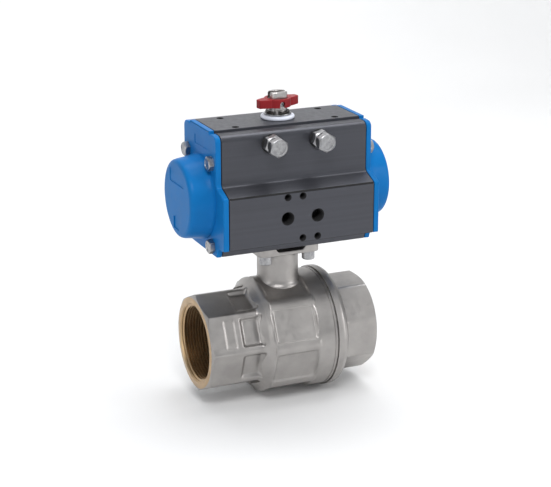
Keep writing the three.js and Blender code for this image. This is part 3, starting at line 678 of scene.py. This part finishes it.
def actuator_body():
    piece = prism("actuator_housing", body_outline(), -BODY_HALF, BODY_HALF, "x", edges=(0.3, 0.3), steps=2)
    tools = [
        rod("x", BORE_RADIUS, -PAST_THE_ENDS, PAST_THE_ENDS, (0, 0, AXIS_Z), FINE),
        rod("z", CAM_ROOM_RADIUS, AXIS_Z, CAM_ROOM_TOP, segments=FINE),
        bore("z", UPPER_BEARING_BORE, BODY_TOP, 150, chamfer=0.5, segments=ROUND),
        bore("z", LOWER_SHAFT_BORE, BODY_BOTTOM, 95, chamfer=0.4, segments=ROUND),
        rod("z", LOWER_BEARING_BORE, LOWER_BEARING_START, 95),
    ]
    for x, passage_end in ((-PORT_X, -20), (PORT_X, -34.5)):
        at = (x, 0, PORT_Z)
        tools.append(threaded_bore("y", AIR_THREAD, AIR_THREAD_DEPTH, PAD_FACE, 1, at))
        tools.append(rod("y", PORT_RADIUS, PAD_FACE + AIR_THREAD_DEPTH - 1, passage_end, at, SMALL))
    for x, dz in ((-PORT_X, PAD_SCREW_Z), (0, PAD_SCREW_Z), (0, -PAD_SCREW_Z), (PORT_X, -PAD_SCREW_Z)):
        tools.append(threaded_bore("y", M5, PAD_SCREW_DEPTH, PAD_FACE, 1, (x, 0, PORT_Z + dz)))
    for x, y in four_corners(*TOP_SCREW):
        tools.append(threaded_bore("z", M5, TOP_SCREW_DEPTH, BODY_TOP, -1, (x, y, 0)))
    for x, y in four_corners(FLANGE_SCREW, FLANGE_SCREW):
        tools.append(bore("z", M6_HOLE, BODY_BOTTOM, 88, (x, y, 0)))
    for at in cap_screw_places():
        tools.append(bore("x", M6_HOLE, BODY_HALF, 42, at))
        tools.append(bore("x", M6_HOLE, -BODY_HALF, -42, at))
    for x in (-STOP_X, STOP_X):
        tools.append(bore("y", STOP_BORE, STOP_FACE, -4, (x, 0, STOP_Z)))
        tools.append(rod("y", STOP_SPOT_FACE, -40, STOP_FACE, (x, 0, STOP_Z)))
    carve(piece, *tools)
    # The walls inside the ports and screw holes get the near-black finish, which is painted shade.
    mark_faces(piece, "anodised_aluminium", "hole_shade_black", in_small_hole)
    finish_piece(piece, "housing", "anodised_aluminium", "actuator_body", angle=28)


def end_caps():
    """Flange with the body's outline and a deep round cup for the spring, with plain sunken panels."""
    piece = prism("spring_cap_right", body_outline(), CAP_INNER, CAP_OUTER, "x", edges=(0.2, 0.8), steps=4)
    cup = lathe("cup", rounded([
        (0, CAP_INNER + 0.5),
        (DOME_RADIUS - 1, CAP_INNER + 0.5),
        (DOME_RADIUS, CAP_OUTER),
        (DOME_RADIUS, CAP_OUTER + 1.5, 1),
        (DOME_RADIUS - 0.9, CAP_OUTER + 5, 2),
        (DOME_RADIUS - 2.2, DOME_END - 2.6, 1.5),
        (DOME_RADIUS - 3.1, DOME_END - 0.8, 0.8),
        (DOME_RADIUS - 4.9, DOME_END, 1.4),
        (0, DOME_END),
    ], closed=False), "x", (0, 0, AXIS_Z), FINE)
    join(piece, cup)
    panel = rectangle((-14.5, AXIS_Z + 11), (14.5, AXIS_Z + 21), 1.5)
    mark = rectangle((-3, AXIS_Z - 24), (8, AXIS_Z - 14.5), 0.8)
    plate = rectangle((-13.5, 154.5), (9.5, 161), 0.8)
    tools = [
        rod("x", DOME_HOLLOW, CAP_INNER - 1, DOME_FLOOR, (0, 0, AXIS_Z)),
        block((CAP_INNER - 1, -36.5, 91), (CAP_INNER + 1.5, -15, 95)),
        prism("panel", panel, DOME_END - 0.5, DOME_END + 1, "x"),
        prism("mark", mark, DOME_END - 0.8, DOME_END + 1, "x"),
        prism("plate", plate, CAP_OUTER - 0.3, CAP_OUTER + 1, "x"),
    ]
    for at in cap_screw_places():
        tools.append(rod("x", M6_HOLE, 50, 70, at, SMALL))
        tools.append(rod("x", 6.6, CAP_OUTER, 90, at))
    carve(piece, *tools)
    twin = mirrored(piece, "spring_cap_left")
    finish_piece(piece, "housing", "coated_blue", "end_cap_right")
    finish_piece(twin, "housing", "coated_blue", "end_cap_left")


def hex_head(name, across, seat, face, axis, at, turn):
    """A hexagon head or nut whose corners are chamfered at its outer face."""
    corner = across / math.sqrt(3)
    way = 1 if face > seat else -1
    head = prism(name, hexagon(across, turn, 0.4), min(seat, face), max(seat, face), axis, at)
    cone = lathe("cone", [
        (0, seat - way),
        (corner - 0.2, seat - way),
        (corner - 0.2, seat + way * 0.1),
        (corner + 0.1, seat + way * 0.4),
        (corner + 0.1, face - way * across * 0.11),
        (across / 2 - 0.5, face),
        (0, face),
    ], axis, at, ROUND)
    return keep(head, cone)


def cap_screws():
    seat = CAP_OUTER + SEAT_GAP
    face = seat + CAP_SCREW_HEAD
    for i, at in enumerate(cap_screw_places()):
        name = f"hex_screw_right_{i + 1}"
        head = hex_head(name, CAP_SCREW_HEX, seat, face, "x", at, CAP_SCREW_RADIANS[i])
        join(head, rod("x", CAP_SCREW_SHANK, 44, CAP_OUTER + 1, at, SMALL))
        dish = [(0, face - 0.3), (3.2, face - 0.3), (3.6, face + 0.9), (0, face + 0.9)]
        carve(head, lathe("dish", dish, "x", at, SMALL))
        twin = mirrored(head, f"hex_screw_left_{i + 1}")
        finish_piece(head, "housing", "stainless", f"cap_screw_right_{i + 1}")
        finish_piece(twin, "housing", "stainless", f"cap_screw_left_{i + 1}")


# ---------- shaft end ----------

def gear_outline():
    corners = []
    step = 2 * math.pi / GEAR_TEETH
    for i in range(GEAR_TEETH):
        middle = -math.pi / 2 + i * step
        for radius, share in ((GEAR_ROOT, -0.36), (GEAR_TIP, -0.13), (GEAR_TIP, 0.13), (GEAR_ROOT, 0.36)):
            angle = middle + share * step
            corners.append((radius * math.cos(angle), radius * math.sin(angle)))
    return corners


def pinion():
    piece = lathe("pinion_shaft", [
        (0, BODY_BOTTOM + 0.4), (13.1, BODY_BOTTOM + 0.4), (13.1, 77.8), (11.6, 77.8), (11.6, 80), (13, 80),
        (13, 95), (8.5, 98), (8.5, 152.6), (7, 152.6), (7, 162.9), (8.3, 162.9), (8.3, 165), (7.1, 165),
        (7.1, 167), (8.3, 167), (8.3, 171.9), (7.9, 172.3), (7.25, 172.3), (7.25, 173.5), (6.6, 173.5),
        (6.6, 175.1), (7.25, 175.1), (7.25, SHAFT_TOP - 0.8), (7.1, SHAFT_TOP - 0.4), (6.5, SHAFT_TOP),
        (0, SHAFT_TOP),
    ], "z")
    gear_low = AXIS_Z - GEAR_HALF_HEIGHT
    gear_high = AXIS_Z + GEAR_HALF_HEIGHT
    gear = prism("gear", gear_outline(), gear_low, gear_high, "z", edges=(0.4, 0.4), steps=1)
    join(piece, gear, prism("seat", hexagon(14.2), 152.6, 162.9, "z"))
    carve(
        piece,
        block((-SOCKET_HALF, -SOCKET_HALF, BODY_BOTTOM - 1), (SOCKET_HALF, SOCKET_HALF, SOCKET_TOP), 0.8),
        block((-10, -SLOT_HALF, SHAFT_TOP - SLOT_DEPTH), (10, SLOT_HALF, SHAFT_TOP + 1)),
        bore("z", M5[1], SHAFT_TOP, SHAFT_TOP - 14, chamfer=0.2),
        block((-10, SHAFT_FLAT, SHAFT_FLAT_START), (10, 10, SHAFT_TOP + 1)),
        block((-10, -10, SHAFT_FLAT_START), (10, -SHAFT_FLAT, SHAFT_TOP + 1)),
    )
    finish_piece(piece, "drive", "pinion_steel", "pinion")


def shaft_rings():
    spacer = lathe("shaft_spacer", rounded([
        (8.7, 169.3), (12.3, 169.3, 0.3), (12.75, 170.1, 0.4),
        (12.6, 171.3, 0.6), (11.8, 172.1, 0.5), (8.7, 172.1),
    ]), "z", segments=FINE)
    finish_piece(spacer, "housing", "white_plastic", "spacer_ring")
    washer = lathe("flat_washer", rounded([
        (7.5, 172.4, 0.1), (10.3, 172.4, 0.2), (10.3, 173.4, 0.3), (7.5, 173.4, 0.1),
    ]), "z", segments=FINE)
    finish_piece(washer, "drive", "stainless", "thrust_washer")
    band = lathe("retaining_ring", rounded([
        (6.75, 173.7, 0.1), (9.1, 173.7, 0.15), (9.1, 174.9, 0.3), (6.75, 174.9, 0.2),
    ]), "z", segments=FINE)
    lugs = [rod("z", 2, 173.7, 174.9, (9.2, y, 0), SMALL) for y in (-2.6, 2.6)]
    join(band, *lugs)
    eyes = [rod("z", 0.75, 173, 176, (9.5, y, 0), SMALL) for y in (-2.7, 2.7)]
    carve(band, block((4, -1.4, 172), (14, 1.4, 176)), *eyes)
    turned(band, SNAP_RING_TURN, "Z")
    finish_piece(band, "drive", "spring_steel", "snap_ring")


def position_indicator():
    """A lozenge pointer clamped to the shaft by a set screw in front."""
    low, high = box_mm("position_indicator")
    tip = 17.2
    root_x = 9.6
    root_y = 5.6
    wing = rounded([
        (-tip, -2.6, 0.9), (-root_x, -root_y, 1.5), (-6, -root_y), (6, -root_y), (root_x, -root_y, 1.5),
        (tip, -2.6, 0.9), (tip, 2.6, 0.9), (root_x, root_y, 1.5), (6, root_y), (-6, root_y),
        (-root_x, root_y, 1.5), (-tip, 2.6, 0.9),
    ])
    piece = prism("pointer", wing, low.z, high.z - 0.2, "z", edges=(0.2, 0.45))
    turned(piece, INDICATOR_TURN, "Z")
    hub = rounded([(0, low.z), (10, low.z, 0.2), (10, high.z, 0.45), (0, high.z)], closed=False)
    join(piece, lathe("hub", hub, "z", segments=FINE))
    screw_z = sum(c.z for c in box_mm("indicator_screw")) / 2
    carve(
        piece,
        bore("z", 7.6, high.z, low.z - 2, chamfer=0.3, segments=FINE),
        rod("y", 2, -12, -5, (0, 0, screw_z), SMALL),
        block((-2, -12, low.z - 1), (2, -7, screw_z)),
    )
    finish_piece(piece, "drive", "red_plastic", "position_indicator")
    front = box_mm("indicator_screw")[0].y + 1.5
    back = front + 1.6
    profile = [(0, front), (1.5, front), (1.7, front + 0.2), (1.7, back), (0, back)]
    screw = lathe("set_screw", profile, "y", (0, 0, screw_z), SMALL)
    carve(screw, prism("key", hexagon(2), front - 1, front + 0.9, "y", (0, 0, screw_z)))
    finish_piece(screw, "drive", "stainless", "indicator_screw")


# ---------- travel stops ----------

def travel_stop(side, x):
    at = (x, 0, STOP_Z)
    bolt_low, bolt_high = box_mm(f"stop_bolt_{side}")
    nut_low, nut_high = box_mm(f"stop_lock_nut_{side}")
    head_turn, nut_turn = (math.radians(turn) for turn in HEAD_AND_NUT_DEGREES[side])
    face = bolt_low.y
    head_back = face + STOP_HEAD
    tip = bolt_high.y
    head = hex_head(f"travel_bolt_{side}", STOP_HEX, head_back, face, "y", at, head_turn)
    profile = [(0, head_back - 1), (3.9, head_back - 1)]
    profile += thread_rings(*M8, head_back + 0.2, tip - 1.5)
    profile += [(3.4, tip - 0.8), (2.8, tip), (0, tip)]
    join(head, lathe("shank", profile, "y", at))
    dish = [(0, face + 0.3), (4.4, face + 0.3), (5, face - 1), (0, face - 1)]
    carve(head, lathe("dish", dish, "y", at))
    finish_piece(head, f"stop_bolt_{side}", "stainless", f"stop_bolt_{side}")
    nut = hex_head(f"lock_nut_{side}", STOP_HEX, nut_high.y, nut_low.y, "y", at, nut_turn)
    carve(nut, bore("y", STOP_BORE, nut_low.y, nut_high.y + 4, at, 0.5, ROUND))
    finish_piece(nut, "housing", "stainless", f"stop_lock_nut_{side}")
    low, high = box_mm(f"stop_seal_washer_{side}")
    ring = lathe(f"seal_washer_{side}", rounded([
        (STOP_BORE, low.y, 0.2), (7.4, low.y, 0.3), (7.4, high.y, 0.3), (STOP_BORE, high.y, 0.2),
    ]), "y", at)
    finish_piece(ring, "housing", "rubber", f"stop_seal_washer_{side}")


# ---------- valve ----------

def octagon_bar(name, octagon, face, root):
    across, turn = octagon
    outline = polygon(8, across / 2 / math.cos(math.pi / 8), turn, 1.1)
    return prism(name, outline, min(face, root), max(face, root), "x")


def facet_cutter(floor, low, high, slope, depth, rounding=1.2):
    """A cutter over the +Y side, with leaning walls; low and high are its floor's (across, along)."""
    sections = []
    for height, grow in ((floor, 0), (floor + depth, slope * depth)):
        outline = rectangle((low[0] - grow, low[1] - grow), (high[0] + grow, high[1] + grow), rounding)
        sections.append((height, outline))
    return loft("facet", sections, "y")


def facet_angles(turn):
    """The facet normals as turns from the +Y side about X."""
    return [turn + (i + 0.5) * math.pi / 4 for i in range(8)]


def mounting_flange():
    """A square flange whose top is sunk along a cross, so that its four corners carry the actuator."""
    square = rectangle((-FLANGE_HALF, -FLANGE_HALF), (FLANGE_HALF, FLANGE_HALF), FLANGE_CORNER)
    piece = prism("flange", square, FLANGE_BOTTOM, FLANGE_TOP, "z")
    floor = FLANGE_TOP - RELIEF_DEPTH
    above = FLANGE_TOP + 1
    section = [
        (-RELIEF_HALF, floor), (RELIEF_HALF, floor),
        (RELIEF_HALF_ABOVE, above), (-RELIEF_HALF_ABOVE, above),
    ]
    front_gap = prism("gap", [(z, x) for x, z in section], -30, 30, "y")
    side_gap = prism("gap", section, -30, 30, "x")
    return carve(piece, front_gap, side_gap)


def valve_neck():
    return lathe("neck", rounded([
        (0, 20), (18.4, 20), (17.6, 41.2, 0.6), (16.3, 43, 1), (15.8, 45.8, 2), (15.8, FLANGE_BOTTOM - 1),
        (16.6, FLANGE_BOTTOM + 0.5), (0, FLANGE_BOTTOM + 0.5),
    ], closed=False), "z", segments=FINE)


def port_face(octagon, face, inward):
    """The lathe-cut end of an octagon: flat face and coned corners."""
    across = octagon[0]
    corner = across / 2 / math.cos(math.pi / 8)
    outside = corner + 70
    far_end = face + inward * 110
    return lathe("turning", [
        (0, face), (across / 2 - 0.4, face), (corner + 0.2, face + inward * 2.1),
        (outside, face + inward * 2.2), (outside, far_end), (0, far_end),
    ], "x", segments=FINE)


def machined_port(place, normal):
    """Whether a face was cut after plating: a pipe thread or the flat end round it."""
    near_end = place.x < VALVE_LEFT + PIPE_THREAD_DEPTH + 1 or place.x > VALVE_RIGHT - PIPE_THREAD_DEPTH - 1
    return near_end and (math.hypot(place.y, place.z) < 31 or abs(normal.x) > 0.95)


def forged_outside():
    """The left octagon, shoulder, eight-sided barrel and round ring, with pockets in their facets."""
    across, turn = LEFT_OCTAGON
    apothem = BARREL_CORNER * math.cos(math.pi / 8)
    piece = octagon_bar("forged_body", LEFT_OCTAGON, VALVE_LEFT - 3, -29)
    shoulder = lathe("shoulder", [
        (0, -31), (36.4, -31), (38.6, -27.2), (41.4, -23.6),
        (44, -21.4), (44.5, -20.6), (44.5, -19), (0, -19),
    ], "x", segments=FINE)
    barrel = prism("barrel", polygon(8, BARREL_CORNER, turn, 5), FACETS[0], FACETS[1] + 1, "x")
    ring = lathe("ring", [
        (0, FACETS[1]), (45.4, FACETS[1]), (RING_RADIUS, BODY_END + 3), (0, BODY_END + 3),
    ], "x", segments=FINE)
    join(piece, shoulder, barrel, ring)
    tools = []
    for i, angle in enumerate(facet_angles(turn)):
        pocket = facet_cutter(across / 2 - 2.2, (-9.2, -41.4), (9.2, -28.5), 0.95, 4)
        tools.append(turned(pocket, angle, "X"))
        if i not in UPPER_FACETS:
            panel = facet_cutter(apothem - 0.9, (-12.6, FACETS[0] + 1.6), (12.6, FACETS[1] - 1), 0.35, 3, 2)
            tools.append(turned(panel, angle, "X"))
    narrow = facet_cutter(across / 2 - 0.5, (-10.7, -56.2), (10.7, -48), 0.3, 3, 0.8)
    tools.append(turned(narrow, facet_angles(turn)[FRONT_FACET], "X"))
    carve(piece, *tools)
    return forged(piece, BODY_GRAIN)


def valve_body():
    piece = forged_outside()
    keep(piece, port_face(LEFT_OCTAGON, VALVE_LEFT, 1))
    head = mounting_flange()
    join(head, valve_neck())
    forged(head, FLANGE_GRAIN)
    join(piece, head)
    spigot_end = SPIGOT_START - 0.3
    beyond = BODY_END + 9
    chamber = lathe("chamber", [
        (0, -SEAT_POCKET_END), (SEAT_POCKET, -SEAT_POCKET_END), (SEAT_POCKET, -20.5), (BALL_ROOM, -8),
        (BALL_ROOM, spigot_end), (SPIGOT_BORE, spigot_end), (SPIGOT_BORE, beyond), (0, beyond),
    ], "x", segments=FINE)
    groove = lathe("groove", [
        (45.4, BODY_END - 2.6), (50, BODY_END - 2.8), (50, BODY_END - 1.6), (45.4, BODY_END - 1.9),
    ], "x", segments=FINE)
    tools = [
        threaded_bore("x", PIPE_THREAD, PIPE_THREAD_DEPTH, VALVE_LEFT, 1, flare=1.0, segments=FINE),
        rod("x", FLOW_RADIUS, -60, 0, segments=FINE),
        chamber,
        rod("x", 60, BODY_END, BODY_END + 12, segments=FINE),
        groove,
        rod("z", STEM_WASHER_BORE, 0, 44.4),
        rod("z", STEM_BORE, 0, 80),
        rod("z", PACKING_BORE, 58, 80),
        block((-40, -40, FLANGE_TOP), (40, 40, FLANGE_TOP + 3)),
    ]
    for x, y in four_corners(FLANGE_SCREW, FLANGE_SCREW):
        tools.append(rod("z", M6_HOLE, 60, 80, (x, y, 0), SMALL))
    carve(piece, *tools)
    without_slivers(piece)
    mark_faces(piece, "plated_brass", "brass", machined_port)
    finish_piece(piece, "housing", "plated_brass", "valve_body", angle=40)


def end_connector():
    piece = octagon_bar("screwed_end", RIGHT_OCTAGON, VALVE_RIGHT + 3, COLLAR_START)
    collar = lathe("collar", rounded([
        (0, COLLAR_START - 3), (COLLAR_RADIUS, COLLAR_START - 3), (COLLAR_RADIUS, 36, 1),
        (45.2, 39, 1.5), (41.8, 41.2, 1), (38.6, 41.8), (0, 41.8),
    ], closed=False), "x", segments=FINE)
    join(piece, collar)
    forged(piece, BODY_GRAIN)
    keep(piece, port_face(RIGHT_OCTAGON, VALVE_RIGHT, -1))
    carve(piece, rod("x", 60, COLLAR_START - 9, COLLAR_START, segments=FINE))
    join(piece, rod("x", SPIGOT_RADIUS, SPIGOT_START, 36, segments=FINE))
    carve(
        piece,
        threaded_bore("x", PIPE_THREAD, PIPE_THREAD_DEPTH, VALVE_RIGHT, -1, flare=1.0, segments=FINE),
        rod("x", FLOW_RADIUS, 0, 60, segments=FINE),
        rod("x", SEAT_POCKET, 0, SEAT_POCKET_END, segments=FINE),
        rod("x", 34.6, 0, 26.2, segments=FINE),
    )
    without_slivers(piece)
    mark_faces(piece, "plated_brass", "brass", machined_port)
    finish_piece(piece, "housing", "plated_brass", "end_connector", angle=40)


def ball():
    sphere = bpy.data.meshes.new("ball")
    shape = bmesh.new()
    bmesh.ops.create_uvsphere(shape, u_segments=96, v_segments=64, radius=BALL_RADIUS * MM)
    shape.to_mesh(sphere)
    shape.free()
    piece = bpy.data.objects.new("bored_ball", sphere)
    bpy.context.scene.collection.objects.link(piece)
    carve(piece, rod("x", FLOW_RADIUS, -40, 40, segments=FINE), block((-4, -20, 31.8), (4, 20, 40)))
    finish_piece(piece, "drive", "chromed_ball", "ball")


def mounting_screws():
    for i in range(4):
        low, high = box_mm(f"mounting_screw_{i + 1}")
        at = ((low.x + high.x) / 2, (low.y + high.y) / 2, 0)
        head = low.z + SOCKET_SCREW_HEAD
        piece = lathe(f"socket_screw_{i + 1}", rounded([
            (0, low.z), (4.9, low.z, 0.9), (4.9, head, 0.2), (2.9, head), (2.9, high.z), (0, high.z),
        ], closed=False), "z", at)
        carve(piece, prism("key", hexagon(5), low.z - 1, low.z + 3, "z", at))
        finish_piece(piece, "housing", "stainless", f"mounting_screw_{i + 1}")


# ---------- return springs ----------

def return_spring(side, way):
    """A round-wire coil with one closed turn at each end."""
    low, high = box_mm(f"return_spring_{side}")
    first = min(abs(low.x), abs(high.x)) + WIRE_RADIUS
    last = max(abs(low.x), abs(high.x)) - WIRE_RADIUS
    open_turns = COIL_TURNS - 2
    open_pitch = (last - first - 2 * CLOSED_PITCH) / open_turns
    steps = int(COIL_TURNS * 40)
    sides = 12
    points = []
    for k in range(steps + 1):
        turn = COIL_TURNS * k / steps
        along = min(turn, 1) * CLOSED_PITCH + min(max(turn - 1, 0), open_turns) * open_pitch
        along += max(turn - COIL_TURNS + 1, 0) * CLOSED_PITCH
        angle = turn * 2 * math.pi
        outward = Vector((0, math.cos(angle), math.sin(angle)))
        middle = Vector((first + along, 0, 0)) + outward * COIL_RADIUS
        for j in range(sides):
            around = j * 2 * math.pi / sides
            spoke = outward * math.cos(around) + Vector((1, 0, 0)) * math.sin(around)
            point = middle + spoke * WIRE_RADIUS
            points.append((way * point.x, way * point.y, point.z + AXIS_Z))
    faces = []
    for k in range(steps):
        for j in range(sides):
            a = k * sides + j
            b = k * sides + (j + 1) % sides
            faces.append((a, b, b + sides, a + sides))
    faces.append(tuple(range(sides)))
    faces.append(tuple(range(steps * sides, (steps + 1) * sides)))
    piece = mesh_piece(f"coil_{side}", points, faces)
    finish_piece(piece, "housing", "spring_steel", f"return_spring_{side}")
    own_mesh(piece)


# ---------- build ----------

actuator_body()
end_caps()
cap_screws()
pinion()
shaft_rings()
position_indicator()
travel_stop("left", -STOP_X)
travel_stop("right", STOP_X)
valve_body()
end_connector()
ball()
mounting_screws()
return_spring("left", -1)
return_spring("right", 1)

slot_of = {part["node"]: part["material_slot"] for part in frame["record"]["subparts"]}
for node_name, node_object in frame["nodes"].items():
    node_object.data.materials.clear()
    node_object.data.materials.append(MATERIALS[slot_of[node_name]])


# ---------- floor, light and camera ----------

def sweep():
    """A pale floor that curves up into a backdrop."""
    floor_z = bounds_at_start[0].z / MM
    path = rounded([(-2500, floor_z - 0.3), (1500, floor_z - 0.3, 700), (1500, 2500)], closed=False, steps=24)
    points = []
    for y, z in path:
        points += [(-3500, y, z), (3500, y, z)]
    faces = [(2 * i, 2 * i + 1, 2 * i + 3, 2 * i + 2) for i in range(len(path) - 1)]
    mesh = bpy.data.meshes.new("sweep")
    mesh.from_pydata([Vector(p) * MM for p in points], [], faces)
    mesh.shade_smooth()
    floor = bpy.data.objects.new("sweep", mesh)
    bpy.context.scene.collection.objects.link(floor)
    look = Look("pale_floor")
    look.colour(look.noise(3, 2), 0.3, 0.7, grey(0.81), grey(0.84))
    look.set(Roughness=0.7)
    mesh.materials.append(look.material)


def area_light(name, place, target, size, power):
    light = bpy.data.lights.new(name, "AREA")
    light.shape = "RECTANGLE"
    light.size = size[0]
    light.size_y = size[1]
    light.energy = power
    lamp = bpy.data.objects.new(name, light)
    lamp.location = place
    lamp.rotation_euler = (Vector(target) - Vector(place)).to_track_quat("-Z", "Y").to_euler()
    bpy.context.scene.collection.objects.link(lamp)


def world_light():
    world = bpy.data.worlds.new("studio")
    world.use_nodes = True
    sky = world.node_tree.nodes["Background"]
    sky.inputs["Color"].default_value = (0.93, 0.96, 1.0, 1)
    sky.inputs["Strength"].default_value = 0.33
    bpy.context.scene.world = world


def camera():
    lens = bpy.data.cameras.new("camera")
    lens.lens = CAMERA_LENS
    lens.sensor_width = 36
    lens.clip_end = 20
    eye = bpy.data.objects.new("camera", lens)
    look_at = (Vector(LOOKED_AT) - Vector(EYE)).to_track_quat("-Z", "Y").to_matrix().to_4x4()
    eye.matrix_world = Matrix.Translation(Vector(EYE)) @ look_at
    bpy.context.scene.collection.objects.link(eye)
    bpy.context.scene.camera = eye


sweep()
world_light()
area_light("key", place=(-0.5, -1.3, 1.5), target=(0, 0, 0.09), size=(0.7, 0.7), power=18)
area_light("top", place=(0.3, 0.15, 1.4), target=(0, 0, 0.1), size=(1.2, 0.8), power=11)
area_light("left", place=(-1.5, -0.35, 0.35), target=(-0.05, 0, 0.05), size=(0.5, 0.8), power=3)
area_light("right", place=(1.3, -1.1, 0.5), target=(0, 0, 0.08), size=(0.4, 1.0), power=8)
area_light("backdrop", place=(0.3, 0.6, 1.9), target=(0.6, 1.5, 0.8), size=(3.2, 0.5), power=16)
camera()
bpy.context.scene.view_settings.view_transform = "Standard"

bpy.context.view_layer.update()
